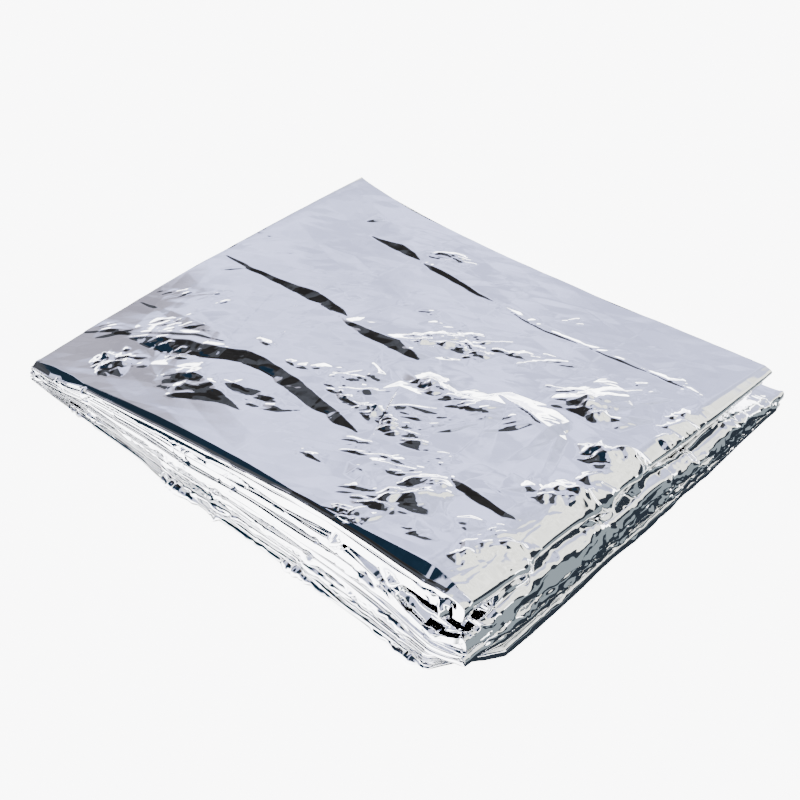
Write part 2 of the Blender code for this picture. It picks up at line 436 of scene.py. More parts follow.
# film
filmFinish = {
    "colour": (0.93, 0.935, 0.95, 1.0),
    "roughness": (0.02, 0.05),  # brightest and dullest
    "haze": (0.35, 0.65),  # the noise's values between which it goes from bright to dull
    "hazeSize": 14.0,
    "hazeDetail": 4.0,
    "rippleSize": 90.0,
    "rippleDetail": 3.0,
    "ripple": 0.04,
    "rippleDepth": 0.002,
}


def noiseNode(nodes, links, at, size, detail):
    noise = nodes.new("ShaderNodeTexNoise")
    noise.inputs["Scale"].default_value = size
    noise.inputs["Detail"].default_value = detail
    links.new(at, noise.inputs["Vector"])
    return noise.outputs["Fac"]


def rangeNode(nodes, links, value, before, after, kind="LINEAR"):
    ramp = nodes.new("ShaderNodeMapRange")
    ramp.interpolation_type = kind
    for name, limit in zip(("From Min", "From Max", "To Min", "To Max"), (*before, *after)):
        ramp.inputs[name].default_value = limit
    links.new(value, ramp.inputs["Value"])
    return ramp.outputs["Result"]


def foilMaterial():
    material = bpy.data.materials.new("metallisedFilm")
    material.use_nodes = True
    nodes, links = material.node_tree.nodes, material.node_tree.links
    shader = nodes["Principled BSDF"]
    shader.inputs["Base Color"].default_value = filmFinish["colour"]
    shader.inputs["Metallic"].default_value = 1.0
    place = nodes.new("ShaderNodeTexCoord").outputs["Object"]
    haze = noiseNode(nodes, links, place, filmFinish["hazeSize"], filmFinish["hazeDetail"])
    dull = rangeNode(nodes, links, haze, filmFinish["haze"], filmFinish["roughness"])
    links.new(dull, shader.inputs["Roughness"])
    ripple = noiseNode(nodes, links, place, filmFinish["rippleSize"], filmFinish["rippleDetail"])
    bump = nodes.new("ShaderNodeBump")
    bump.inputs["Strength"].default_value = filmFinish["ripple"]
    bump.inputs["Distance"].default_value = filmFinish["rippleDepth"]
    links.new(ripple, bump.inputs["Height"])
    links.new(bump.outputs["Normal"], shader.inputs["Normal"])
    return material


film = foilMaterial()


def filmPiece(name, points):
    rows, columns = points.shape[:2]
    grid = np.arange(rows * columns).reshape(rows, columns)
    corners = [grid[:-1, :-1], grid[:-1, 1:], grid[1:, 1:], grid[1:, :-1]]
    quads = np.stack(corners, axis=2).reshape(-1, 4)
    mesh = bpy.data.meshes.new(name)
    mesh.from_pydata(points.reshape(-1, 3).tolist(), [], quads.tolist())
    mesh.validate()
    mesh.shade_smooth()
    piece = bpy.data.objects.new(name, mesh)
    bpy.context.scene.collection.objects.link(piece)
    piece.data.materials.append(film)
    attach(piece, "root")
    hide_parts("foil_sheet")
    print(name, len(quads) * 2, "triangles")
    return piece


# a crease's path is (a, b, width of its steep face in mm), and its steep face looks to -Y, or to +Y if
# it is turned. gentle is the width of its other side in mm
creases = {
    "frontLeft": {"path": ((0.090, 0.175, 0), (0.130, 0.195, 7), (0.170, 0.210, 12), (0.240, 0.235, 12),
                           (0.280, 0.250, 11), (0.325, 0.280, 10), (0.410, 0.280, 10), (0.495, 0.265, 9.5),
                           (0.590, 0.240, 7), (0.640, 0.225, 0)),
                  "slope": 0.46, "gentle": 120},
    "middleLeft": {"path": ((0.007, 0.532, 0), (0.075, 0.537, 2), (0.160, 0.542, 4), (0.263, 0.552, 8),
                            (0.302, 0.547, 7), (0.335, 0.540, 4), (0.365, 0.530, 0)),
                   "slope": 0.46, "gentle": 55},
    "middle": {"path": ((0.362, 0.517, 1), (0.383, 0.515, 4), (0.432, 0.515, 7), (0.495, 0.522, 9),
                        (0.532, 0.512, 6), (0.562, 0.497, 0)),
               "slope": 0.46, "gentle": 50},
    "middleRight": {"path": ((0.715, 0.510, 0), (0.735, 0.508, 13), (0.775, 0.497, 20), (0.818, 0.487, 24),
                             (0.858, 0.478, 22), (0.880, 0.478, 12), (0.895, 0.485, 0)),
                    "slope": 0.24, "gentle": 60, "turned": True},
    "middleFront": {"path": ((0.758, 0.503, 0), (0.790, 0.492, 1), (0.830, 0.480, 1), (0.850, 0.478, 0)),
                    "slope": 0.60, "gentle": 6},
    "middleEnd": {"path": ((0.905, 0.490, 0), (0.938, 0.482, 5), (0.970, 0.478, 5), (1.000, 0.473, 0)),
                  "slope": 0.46, "gentle": 16},
    "backLeft": {"path": ((0.163, 0.835, 0), (0.198, 0.840, 3), (0.242, 0.848, 6), (0.280, 0.845, 5),
                          (0.305, 0.833, 0)),
                 "slope": 0.46, "gentle": 45},
    "backMiddle": {"path": ((0.307, 0.830, 0), (0.340, 0.828, 4), (0.393, 0.825, 5), (0.473, 0.815, 3),
                            (0.525, 0.810, 0)),
                   "slope": 0.46, "gentle": 40},
    "backLine": {"path": ((0.515, 0.811, 0.5), (0.570, 0.801, 1.8), (0.608, 0.792, 1.2),
                          (0.680, 0.792, 2.0), (0.745, 0.797, 1.0), (0.800, 0.802, 2.2),
                          (0.860, 0.807, 1.4), (0.920, 0.802, 2.0), (0.965, 0.800, 0.5)),
                 "slope": 0.50, "gentle": 7},
    "nearMiddle": {"path": ((0.825, 0.238, 0), (0.853, 0.233, 5), (0.900, 0.228, 5.5), (0.945, 0.220, 4),
                            (0.970, 0.223, 0)),
                   "slope": 0.46, "gentle": 30},
    "nearLine": {"path": ((0.865, 0.270, 0), (0.905, 0.263, 1.5), (0.948, 0.255, 0)),
                 "slope": 0.46, "gentle": 14},
    "leftWedge": {"path": ((0.005, 0.290, 0), (0.075, 0.295, 3), (0.135, 0.295, 8), (0.200, 0.290, 10),
                           (0.245, 0.290, 6), (0.290, 0.290, 0)),
                  "slope": 0.20, "gentle": 90},
    "leftLong": {"path": ((0.000, 0.145, 1.5), (0.045, 0.175, 2.5), (0.105, 0.200, 2.5),
                          (0.160, 0.230, 2.5), (0.225, 0.260, 3), (0.285, 0.280, 0)),
                 "slope": 0.30, "gentle": 60},
    "leftFold": {"path": ((0.200, 0.135, 0), (0.240, 0.150, 16), (0.292, 0.158, 26), (0.345, 0.155, 24),
                          (0.410, 0.142, 8), (0.450, 0.130, 0)),
                 "slope": 0.185, "gentle": 70},
    "leftFold2": {"path": ((0.355, 0.165, 0), (0.393, 0.188, 8), (0.432, 0.203, 9), (0.480, 0.212, 6),
                           (0.515, 0.215, 0)),
                  "slope": 0.17, "gentle": 20},
    "whiteFront": {"path": ((0.575, 0.360, 0), (0.600, 0.393, 12), (0.640, 0.395, 20), (0.680, 0.420, 18),
                            (0.713, 0.450, 22), (0.743, 0.470, 16), (0.765, 0.485, 0)),
                   "slope": 0.20, "gentle": 70, "turned": True},
    "whiteNear": {"path": ((0.833, 0.090, 0), (0.820, 0.143, 11), (0.823, 0.180, 15), (0.838, 0.205, 11),
                           (0.855, 0.215, 0)),
                  "slope": 0.18, "gentle": 34, "turned": True},
    "whiteEdge": {"path": ((0.705, 0.113, 0), (0.708, 0.143, 10), (0.718, 0.168, 13), (0.738, 0.175, 9),
                           (0.758, 0.175, 0)),
                  "slope": 0.18, "gentle": 28, "turned": True},
    "whiteMiddle": {"path": ((0.500, 0.530, 0), (0.530, 0.535, 9), (0.552, 0.562, 9), (0.565, 0.600, 0)),
                    "slope": 0.18, "gentle": 22, "turned": True},
    "whiteMiddle2": {"path": ((0.512, 0.508, 0), (0.550, 0.515, 8), (0.585, 0.530, 9), (0.610, 0.570, 0)),
                     "slope": 0.18, "gentle": 22, "turned": True},
    "darkFront": {"path": ((0.600, 0.415, 0), (0.605, 0.435, 8), (0.620, 0.445, 10), (0.640, 0.450, 9),
                           (0.665, 0.440, 0)),
                  "slope": 0.46, "gentle": 30},
    "cross1": {"path": ((0.290, 0.360, 0), (0.292, 0.600, 0.8), (0.288, 0.950, 0.4)),
               "slope": 0.12, "gentle": 20},
    "cross2": {"path": ((0.53, 0.03, 0.5), (0.528, 0.3, 0.8), (0.532, 0.6, 0.8), (0.528, 0.93, 0.5)),
               "slope": 0.12, "gentle": 20},
    "cross3": {"path": ((0.747, 0.02, 0.5), (0.752, 0.118, 1.2), (0.771, 0.142, 1.2), (0.790, 0.30, 1.0),
                        (0.772, 0.6, 0.8), (0.77, 0.95, 0.5)),
               "slope": 0.14, "gentle": 20},
}

# a steep face is uneven, in flat bits of this length and width in metres, that lie this turned
creaseFace = {
    "uneven": 0.30,
    "length": 0.011,
    "width": 0.006,
    "turn": 40,
    "round": 1.4,  # how hollow the gentle side is, and 1 for a flat one
}

# patches of crumpled film on the top: middle in shares, half sizes in mm, turn against the usual lie in
# degrees, number, length and width in mm, slope, the share whose steep side looks to the front and turns
# dark, and 1 for soft ridges
crumples = {
    "columns": "a b halfU halfV turn count length width steep dark soft",
    "rows": (
        (0.525, 0.570, 16, 12, 0, 16, 22, 3.0, 0.30, 0.60, 0),
        (0.585, 0.625, 26, 18, 0, 30, 22, 3.0, 0.30, 0.60, 0),
        (0.610, 0.620, 14, 14, -60, 10, 14, 2.0, 0.36, 0.50, 0),
        (0.675, 0.655, 14, 10, -15, 14, 18, 2.2, 0.30, 0.60, 0),
        (0.740, 0.700, 20, 8, 0, 10, 20, 2.0, 0.26, 0.80, 0),
        (0.530, 0.650, 22, 4, 0, 8, 26, 2.4, 0.26, 0.90, 0),
        (0.510, 0.340, 24, 7, 0, 14, 24, 3.0, 0.26, 0.50, 0),
        (0.545, 0.380, 9, 4, 0, 4, 24, 6.5, 0.20, 1.00, 0),
        (0.630, 0.430, 16, 6, 0, 5, 28, 6.0, 0.20, 1.00, 0),
        (0.690, 0.430, 24, 4, 0, 12, 18, 3.0, 0.26, 0.80, 0),
        (0.775, 0.625, 24, 6, 0, 12, 22, 1.8, 0.26, 0.85, 0),
        (0.865, 0.705, 30, 5, 0, 10, 24, 1.4, 0.30, 0.85, 0),
        (0.880, 0.605, 26, 8, 0, 6, 44, 8.0, 0.22, 1.00, 0),
        (0.905, 0.610, 28, 9, 0, 10, 18, 4.4, 0.24, 0.20, 0),
        (0.840, 0.610, 20, 5, 0, 6, 18, 1.8, 0.30, 0.90, 0),
        (0.750, 0.440, 30, 9, 0, 18, 24, 2.2, 0.26, 0.85, 0),
        (0.705, 0.360, 20, 7, 0, 9, 24, 2.2, 0.24, 0.90, 0),
        (0.965, 0.485, 14, 12, -15, 18, 20, 4.0, 0.30, 0.50, 0),
        (0.990, 0.515, 10, 8, 0, 8, 22, 6.0, 0.24, 0.00, 0),
        (0.945, 0.300, 14, 6, 0, 6, 26, 6.0, 0.22, 1.00, 0),
        (0.975, 0.350, 18, 9, 0, 14, 24, 5.0, 0.24, 0.20, 0),
        (1.000, 0.410, 14, 12, 10, 10, 26, 6.0, 0.24, 0.30, 0),
        (0.825, 0.195, 14, 8, 10, 14, 22, 3.4, 0.26, 0.30, 0),
        (0.820, 0.135, 20, 7, 15, 14, 24, 3.4, 0.26, 0.45, 0),
        (0.770, 0.090, 18, 8, 0, 16, 20, 3.0, 0.28, 0.60, 0),
        (0.775, 0.025, 14, 8, 0, 10, 16, 3.0, 0.28, 0.50, 0),
        (0.805, 0.035, 10, 12, 30, 8, 20, 3.0, 0.26, 0.30, 0),
        (0.885, 0.070, 10, 3, 0, 4, 26, 3.4, 0.22, 1.00, 0),
        (0.905, 0.115, 5, 2, 0, 2, 12, 2.4, 0.22, 1.00, 0),
        (0.970, 0.090, 12, 6, 0, 8, 20, 5.0, 0.24, 0.80, 0),
        (0.975, 0.165, 26, 10, 5, 20, 24, 4.0, 0.24, 0.25, 0),
        (0.990, 0.705, 16, 8, 0, 18, 14, 3.0, 0.26, 0.80, 0),
        (0.995, 0.650, 16, 8, 0, 14, 16, 3.0, 0.28, 0.40, 0),
        (0.985, 0.110, 10, 34, 42, 18, 36, 1.8, 0.22, 0.50, 0),
        (0.990, 0.290, 8, 30, 42, 14, 36, 1.8, 0.22, 0.50, 0),
        (0.315, 0.330, 10, 2, -38, 5, 12, 1.4, 0.30, 1.00, 0),
        (0.425, 0.310, 16, 3, -38, 8, 12, 1.6, 0.30, 0.90, 0),
        (0.540, 0.290, 18, 4, -38, 14, 12, 2.0, 0.32, 0.70, 0),
        (0.620, 0.290, 20, 6, -30, 24, 14, 2.4, 0.32, 0.50, 0),
        (0.695, 0.285, 16, 9, -15, 18, 14, 2.2, 0.32, 0.50, 0),
        (0.655, 0.310, 24, 12, 0, 14, 14, 1.6, 0.28, 0.80, 0),
        (0.710, 0.195, 34, 9, -10, 30, 20, 1.6, 0.28, 0.60, 0),
        (0.605, 0.115, 16, 6, -30, 10, 16, 1.6, 0.26, 0.85, 0),
        (0.780, 0.265, 16, 8, 0, 14, 16, 1.6, 0.28, 0.70, 0),
        (0.325, 0.125, 26, 10, -25, 10, 24, 6.0, 0.17, 0.95, 1),
        (0.440, 0.180, 28, 9, -20, 10, 22, 5.0, 0.17, 0.90, 1),
        (0.135, 0.100, 16, 12, 0, 14, 18, 4.5, 0.24, 0.15, 0),
        (0.150, 0.120, 20, 14, 0, 18, 14, 3.0, 0.28, 0.80, 0),
        (0.205, 0.195, 24, 8, 0, 14, 16, 3.0, 0.24, 0.40, 0),
        (0.265, 0.250, 10, 8, 0, 4, 16, 3.0, 0.18, 0.70, 0),
        (0.050, 0.185, 14, 5, 0, 5, 28, 2.4, 0.20, 1.00, 0),
        (0.145, 0.270, 18, 7, 0, 9, 22, 4.0, 0.18, 0.90, 1),
        (0.340, 0.885, 16, 9, -10, 14, 22, 2.6, 0.28, 0.50, 0),
        (0.360, 0.885, 18, 3, -25, 6, 18, 1.8, 0.30, 0.90, 0),
        (0.140, 0.895, 5, 2, 0, 2, 16, 1.8, 0.30, 1.00, 0),
        (0.315, 0.455, 12, 3, 10, 3, 26, 1.6, 0.28, 1.00, 0),
        (0.335, 0.595, 8, 5, 0, 4, 16, 1.4, 0.28, 1.00, 0),
        (0.400, 0.660, 6, 2, 0, 3, 16, 2.0, 0.22, 1.00, 0),
        (0.455, 0.670, 10, 4, 0, 6, 12, 1.6, 0.24, 1.00, 0),
        (0.320, 0.385, 4, 8, 50, 3, 14, 1.4, 0.30, 1.00, 0),
        (0.655, 0.865, 12, 4, 0, 8, 12, 1.2, 0.30, 0.70, 0),
        (0.920, 0.810, 5, 3, 0, 3, 16, 2.6, 0.26, 1.00, 0),
        (0.960, 0.790, 10, 3, -38, 6, 10, 1.2, 0.30, 0.80, 0),
        (0.890, 0.750, 10, 6, 0, 6, 18, 1.8, 0.28, 0.80, 0),
        (0.060, 0.340, 20, 14, 10, 12, 22, 2.0, 0.16, 0.80, 1),
        (0.140, 0.400, 16, 10, 10, 9, 16, 1.4, 0.24, 0.95, 0),
        (0.610, 0.800, 4, 3, 0, 3, 10, 1.6, 0.26, 1.00, 0),
        (0.855, 0.175, 40, 30, 0, 16, 14, 0.9, 0.20, 0.90, 0),
        (0.545, 0.550, 226, 150, 0, 110, 16, 0.9, 0.22, 0.90, 0),
        (0.545, 0.550, 226, 150, -43, 40, 40, 0.7, 0.12, 0.60, 0),
    ),
    "lie": 43.0,
    "spread": 20.0,  # degrees either way
    "white": 1.3,  # how much steeper the ridges that look to the back are
    "seed": seeds["topRidges"],
}

# the flats aren't quite flat either
topGrain = {
    "columns": "height length width turn",
    "rows": ((0.00045, 0.036, 0.021, 14), (0.00018, 0.017, 0.010, 52)),
    "swell": 0.0006,
    "swellSize": 0.07,
}


def creaseHeight(x, y, crease):
    leafLength, leafWidth = pile["leafLength"], pile["leafWidth"]
    path = [(a * leafLength, b * leafWidth, width * 0.001) for a, b, width in crease["path"]]
    nearest = np.full(x.shape, np.inf)
    across, width = np.zeros(x.shape), np.zeros(x.shape)
    for (x0, y0, w0), (x1, y1, w1) in zip(path, path[1:]):
        size = math.hypot(x1 - x0, y1 - y0)
        alongX, alongY = (x1 - x0) / size, (y1 - y0) / size
        share = np.clip(((x - x0) * alongX + (y - y0) * alongY) / size, 0.0, 1.0)
        awayX, awayY = x - between(x0, x1, share), y - between(y0, y1, share)
        away = np.hypot(awayX, awayY)
        closer = away < nearest
        nearest = np.where(closer, away, nearest)
        across = np.where(closer, np.copysign(away, alongX * awayY - alongY * awayX), across)
        width = np.where(closer, between(w0, w1, share), width)
    length, wide, turned = creaseFace["length"], creaseFace["width"], creaseFace["turn"]
    bits = facets(x, y, length, wide, turned, seeds["creaseFace"])
    uneven = 1.0 + creaseFace["uneven"] * bits
    if crease.get("turned"):
        across, uneven = -across, 1.0
    rise = crease["slope"] * width
    steep = rise + crease["slope"] * across / uneven
    gentle = rise * np.clip(1.0 - across / (crease["gentle"] * 0.001), 0.0, 1.0) ** creaseFace["round"]
    return np.where(across < 0, np.maximum(0.0, steep), gentle)


def topDetail(u, v):
    x, y = np.meshgrid(u, v, indexing="ij")
    bentX, bentY = wobble(x, y)
    height = sum(creaseHeight(bentX, bentY, crease) for crease in creases.values())

    def middleOf(patch):
        return patch["a"] * pile["leafLength"], patch["b"] * pile["leafWidth"]

    height = crumpled(height, bentX, bentY, crumples, crumples["rows"], middleOf)
    for index, row in enumerate(topGrain["rows"]):
        net = named(topGrain, row)
        bits = facets(x, y, net["length"], net["width"], net["turn"], seeds["topFacets"] + index)
        height = height + net["height"] * bits
    return height + topGrain["swell"] * swells(x, y, topGrain["swellSize"], seeds["topSwell"])


# the top film runs from under its turn at +X, over the top and round its hem. Numbers of faces, and shares
topGrid = {
    "along": 460,
    "across": 378,
    "edge": 22,  # closer ones near the -Y edge
    "edgeWidth": 0.03,
    "below": [0.01, 0.02],  # rows past the hem on the lower face
    "around": 12,
    "turn": 16,
    "split": 0.52,  # where the film's two pieces meet
}


def topFilm(stations):
    edge = topGrid["edgeWidth"]
    first = spread(1.0, edge, topGrid["across"] - topGrid["edge"])
    first += spread(edge, 0.0, topGrid["edge"] + 1)[1:-1]
    rows = leafRows(first, topGrid["around"], topGrid["below"])
    points = leafGrid(stations, rows)
    b, angle = rows
    top = len(first)
    v = b * pile["leafWidth"]
    v[top:] = -lengths(points[len(stations) // 2, top:])
    turned = [index for index, station in enumerate(stations) if station[1] is None]
    u = np.array([1.0 if station[1] is None else station[1] for station in stations]) * pile["leafLength"]
    if turned:
        bent = points[: len(turned) + 1, top // 2]
        u[: len(turned) + 1] += lengths(bent[::-1])[::-1]
    return moved(points, topDetail(u, v))


# the leaves below are made in three parts: the long runs, the turns at +X and the turns at -X. Numbers of
# faces, and shares of the leaf
hiddenGrid = {
    "runAlong": 340,
    "runAcross": 7,
    "around": 22,
    "turn": 16,
    "noseAlong": 8,
    "noseAcross": 290,
    "tailAcross": 100,
    "endAlong": 20,
    "noseStart": 0.94,
    "tailEnd": 0.05,
    "liningStart": 0.97,
    "liningAlong": 4,
    "hem": [0.003, 0.007, 0.013, 0.022, 0.035],  # rows near the -Y edge
    "inner": 0.055,  # and where the others start
}

# how the leaves below are ruffled, as shares of the step from leaf to leaf, in ruffles of this length and
# width in metres
ruffles = {
    "face": 0.02,
    "edge": 0.05,
    "length": 0.030,
    "width": 0.005,
    "turn": 4,
    "nose": 0.18,
    "noseLength": 0.032,
    "noseTurn": 6,
    "noseFade": 0.4,  # how much less there is of it at the long sides
    "hemReach": 0.012,  # share of the width over which the crumples at -Y die away
    "noseReach": 0.03,  # and of the length over which those at +X do
    "wander": 0.0016,  # how far the edges wander, in metres, and over which length
    "wanderLength": 0.045,
}

# crumpled patches on the sides: middle along the side and up it in shares, half sizes in mm, turn in
# degrees, number, length and width in mm, slope, and the share whose steep side looks up
sideCrumples = {
    "columns": "place height halfU halfV turn count length width steep dark",
    "front": (
        (0.030, 0.50, 6, 3, 0, 8, 8, 0.8, 0.9, 0.8),
        (0.090, 0.90, 9, 2, 10, 6, 7, 0.8, 0.9, 0.8),
        (0.165, 0.93, 6, 3, -20, 3, 10, 3.6, 0.9, 1.0),
        (0.200, 0.95, 6, 2, 10, 4, 14, 1.6, 0.9, 0.9),
        (0.165, 0.62, 5, 2, -60, 3, 4, 0.8, 1.0, 1.0),
        (0.235, 0.80, 7, 2, 20, 4, 9, 1.0, 0.8, 1.0),
        (0.135, 0.12, 8, 2, 0, 8, 7, 1.0, 0.9, 0.9),
        (0.190, 0.22, 8, 3, 0, 10, 8, 1.0, 0.9, 0.9),
        (0.300, 0.36, 22, 3, 0, 9, 22, 0.8, 1.0, 1.0),
        (0.380, 0.40, 22, 6, 0, 34, 12, 0.9, 0.9, 0.8),
        (0.420, 0.64, 10, 5, 40, 9, 10, 0.8, 0.9, 0.8),
        (0.395, 0.10, 6, 2, 20, 4, 8, 2.0, 0.9, 1.0),
        (0.440, 0.08, 12, 2, 0, 6, 16, 2.2, 0.9, 1.0),
        (0.490, 0.36, 20, 4, 0, 26, 14, 0.9, 0.9, 0.8),
        (0.515, 0.05, 7, 2, 10, 7, 7, 1.4, 1.0, 0.8),
        (0.540, 0.19, 12, 2, 0, 5, 14, 1.4, 0.9, 1.0),
        (0.540, 0.67, 12, 6, 60, 10, 4, 0.8, 1.0, 1.0),
        (0.645, 0.36, 14, 2, 0, 8, 8, 0.8, 1.0, 1.0),
        (0.695, 0.30, 18, 2, 0, 9, 14, 1.0, 1.0, 1.0),
        (0.743, 0.29, 7, 1, 0, 2, 13, 2.4, 0.9, 1.0),
        (0.771, 0.74, 2, 1, -50, 2, 9, 3.2, 0.9, 1.0),
        (0.740, 0.56, 3, 4, 70, 2, 6, 0.9, 1.0, 1.0),
        (0.802, 0.58, 18, 9, 20, 26, 7, 0.8, 0.9, 0.7),
        (0.845, 0.53, 12, 2, 0, 5, 16, 1.2, 1.0, 1.0),
        (0.893, 0.77, 3, 1, 10, 2, 15, 3.6, 0.9, 1.0),
        (0.950, 0.91, 5, 1, -5, 2, 18, 3.0, 0.9, 1.0),
        (0.888, 0.57, 14, 2, 0, 6, 20, 1.4, 1.0, 1.0),
        (0.938, 0.58, 9, 3, 20, 9, 11, 1.4, 0.9, 0.8),
        (0.852, 0.26, 22, 2, 0, 16, 8, 1.0, 1.1, 1.0),
        (0.800, 0.20, 30, 4, 0, 14, 18, 0.9, 1.0, 1.0),
        (0.914, 0.30, 6, 1, 0, 3, 12, 2.0, 0.9, 1.0),
        (0.967, 0.42, 9, 2, 0, 3, 24, 2.4, 0.9, 1.0),
        (0.936, 0.03, 10, 2, 0, 4, 18, 2.8, 0.9, 1.0),
        (0.874, 0.03, 8, 1, 0, 4, 10, 1.2, 1.0, 1.0),
        (0.726, 0.06, 24, 2, 0, 18, 10, 1.6, 1.0, 0.9),
        (0.600, 0.15, 110, 6, 0, 40, 12, 0.6, 0.9, 0.9),
        (0.650, 0.60, 150, 12, 0, 30, 14, 0.5, 0.8, 0.9),
        (1.000, 0.75, 9, 8, 20, 24, 9, 2.0, 0.9, 0.9),
    ),
    "right": (
        (0.030, 0.72, 10, 8, 0, 30, 9, 1.8, 0.55, 0.9),
        (0.190, 0.86, 14, 3, 0, 20, 9, 1.4, 0.8, 0.7),
        (0.370, 0.86, 12, 2, 0, 5, 20, 3.0, 0.7, 1.0),
        (0.620, 0.82, 18, 3, 0, 12, 20, 3.0, 0.7, 0.8),
        (0.110, 0.45, 36, 14, 10, 44, 22, 1.3, 0.8, 0.5),
        (0.300, 0.45, 40, 13, 6, 50, 24, 1.3, 0.8, 0.5),
        (0.500, 0.45, 40, 11, 6, 50, 24, 1.3, 0.8, 0.5),
        (0.700, 0.45, 40, 9, 4, 44, 24, 1.2, 0.8, 0.5),
        (0.900, 0.45, 36, 8, 4, 40, 22, 1.2, 0.8, 0.5),
        (0.500, 0.10, 170, 2, 0, 50, 16, 1.2, 0.4, 0.9),
        (0.300, 0.22, 60, 6, 10, 40, 18, 1.2, 0.7, 0.6),
        (0.720, 0.22, 60, 4, 10, 40, 18, 1.2, 0.7, 0.6),
        (0.300, 0.72, 60, 6, 5, 26, 44, 1.2, 0.8, 0.7),
        (0.750, 0.68, 50, 5, 5, 24, 44, 1.2, 0.8, 0.7),
    ),
    "lie": 0.0,
    "spread": 24.0,
    "white": 1.0,
    "seed": seeds["sideRidges"],
}


def sideDetail(points, side):
    front = side == "front"
    size = pile["leafLength"] if front else pile["leafWidth"]
    x = points[:, :, 0] + pile["middle"][0] if front else points[:, :, 1] + pile["middle"][1]
    x, y = wobble(x, -points[:, :, 2])

    def middleOf(patch):
        top = float(pileTop(patch["place"], 0.0) if front else pileTop(1.0, patch["place"]))
        return patch["place"] * size, -patch["height"] * top

    return crumpled(np.zeros(x.shape), x, y, sideCrumples, sideCrumples[side], middleOf)


def hiddenFilm(stations, rows):
    points = leafGrid(stations, rows)
    b, angle = rows
    ends = [(1.0 if leaf % 2 == 0 else 0.0) if at is None else at for leaf, at, _ in stations]
    a = np.array(ends)[:, None]
    leaf = np.array([leaf for leaf, _, _ in stations])[:, None]
    step = pileTop(a, b[None, :]) / pile["leafCount"]
    edge = smooth(1.0 - np.where(leaf < topLeaf, np.minimum(b, 1.0 - b), b) / pile["hemZone"])
    hem = smooth(1.0 - b / ruffles["hemReach"])[None, :]
    nose = smooth((a - 1.0) / ruffles["noseReach"] + 1.0) * (1.0 - ruffles["noseFade"] * edge)
    along, across = lengths(points[:, len(b) // 4]), lengths(points[len(stations) // 2])
    u, v = np.broadcast_arrays(along[:, None], across[None, :])
    # each leaf lies in a place of its own in the nets
    length, width, turned = ruffles["length"], ruffles["width"], ruffles["turn"]
    ruffle = facets(u, v + 0.31 * leaf, length, width, turned, seeds["ruffles"])
    lift = step * (ruffles["face"] + ruffles["edge"] * edge) * ruffle
    length, turned = ruffles["noseLength"], ruffles["noseTurn"]
    ruffle = facets(v + 0.27 * leaf, u, length, width, turned, seeds["noses"])
    lift = lift + step * ruffles["nose"] * nose * ruffle
    lift = lift + hem * sideDetail(points, "front")
    if nose.max() > 0:
        lift = lift + nose * sideDetail(points, "right")
    points = moved(points, lift)
    place, layer = points[:, :, 0] + 0.37 * leaf, np.broadcast_to(0.05 * leaf, u.shape)
    aside = swells(place, layer, ruffles["wanderLength"], seeds["edges"])
    points[:, :, 1] += ruffles["wander"] * aside * edge
    return points


def innerRows():
    return hiddenGrid["hem"] + spread(hiddenGrid["inner"], 1.0, hiddenGrid["runAcross"])


def runFilm(leaf, first, last, count):
    inner = innerRows()
    return hiddenFilm(run(leaf, first, last, count), leafRows(inner[::-1], hiddenGrid["around"], inner))


def turnFilm(leaf):
    near = leaf % 2 == 0
    count = hiddenGrid["noseAcross"] if near else hiddenGrid["tailAcross"]
    inner = spread(hiddenGrid["hem"][0], 1.0, count)
    if leaf == topLeaf - 1:
        stations = turn(leaf, hiddenGrid["turn"], first=0)
        stations += run(topLeaf, 1.0, hiddenGrid["liningStart"], hiddenGrid["liningAlong"])
        return hiddenFilm(stations, [np.array(inner), np.full(len(inner), 90.0)])
    edge, end = (hiddenGrid["noseStart"], 1.0) if near else (hiddenGrid["tailEnd"], 0.0)
    stations = run(leaf, edge, end, hiddenGrid["noseAlong"]) + turn(leaf, hiddenGrid["turn"])
    stations += run(leaf + 1, end, edge, hiddenGrid["noseAlong"])
    return hiddenFilm(stations, leafRows(inner[::-1], hiddenGrid["around"], inner))


# the top leaf's lower face, which turns up at +Y
def liningFilm():
    stations = run(topLeaf, hiddenGrid["liningStart"], 0.0, hiddenGrid["runAlong"])
    inner = hiddenGrid["hem"][2:] + spread(hiddenGrid["inner"], 1.0, 3 * hiddenGrid["runAcross"])
    closing = [80.0, 60.0, 30.0, 0.0, -30.0]
    b = np.array(inner + [1.0] * len(closing))
    return hiddenFilm(stations, [b, np.array([90.0] * len(inner) + closing)])


def filmPieces():
    halfTop = topGrid["along"] // 2
    stations = turn(topLeaf - 1, topGrid["turn"], first=0) + run(topLeaf, 1.0, topGrid["split"], halfTop)
    filmPiece("topFilmNear", topFilm(stations))
    stations = run(topLeaf, topGrid["split"], 0.0, halfTop)
    filmPiece("topFilmFar", topFilm(stations))
    first = hiddenGrid["tailEnd"]
    for leaf in range(topLeaf):
        underTop = leaf == topLeaf - 1
        points = runFilm(leaf, first, 1.0 if underTop else hiddenGrid["noseStart"], hiddenGrid["runAlong"])
        filmPiece(f"run{leaf}", points)
        filmPiece(f"turn{leaf}", turnFilm(leaf))
    filmPiece("topLining", liningFilm())
    points = runFilm(0, 0.0, first, hiddenGrid["endAlong"])
    filmPiece("lowestEnd", points)


filmPieces()
print("film pieces made")

